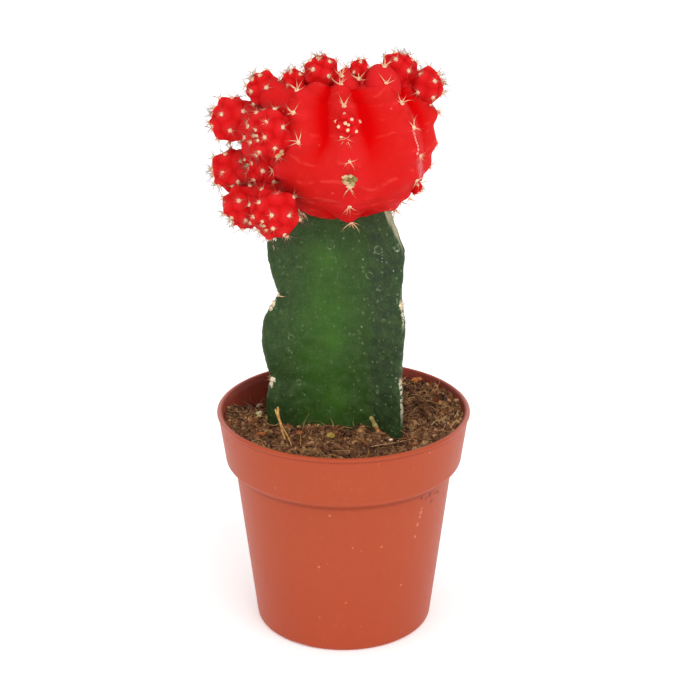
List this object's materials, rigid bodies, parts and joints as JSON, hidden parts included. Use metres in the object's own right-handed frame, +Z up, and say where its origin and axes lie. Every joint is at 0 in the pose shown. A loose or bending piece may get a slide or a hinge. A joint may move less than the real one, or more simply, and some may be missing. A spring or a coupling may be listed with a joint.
{
  "type": "potted moon cactus",
  "caption": "Small potted moon cactus: a red ribbed globe with clustered offsets, grafted on a three-winged green stem in a round plastic nursery pot of peat.",
  "frame": {"origin": "centre of the pot's underside, on the surface that the pot stands on", "axes": "+Z up along the pot's axis, -Y towards the front of the plant, +X to the right seen from the front"},
  "size_m": [0.0565, 0.055, 0.1289],
  "materials": {
    "pot_plastic": "satin",
    "peat": "matte",
    "green_skin": "satin",
    "red_skin": "satin",
    "straw": "matte",
    "twig": "matte",
    "spines": "matte",
    "wool": "matte"
  },
  "bodies": {
    "root": {"pot": "pot_plastic", "soil": "peat", "rootstock": "green_skin", "scion": "red_skin", "straw": "straw", "twig": "twig"}
  },
  "joints": []
}
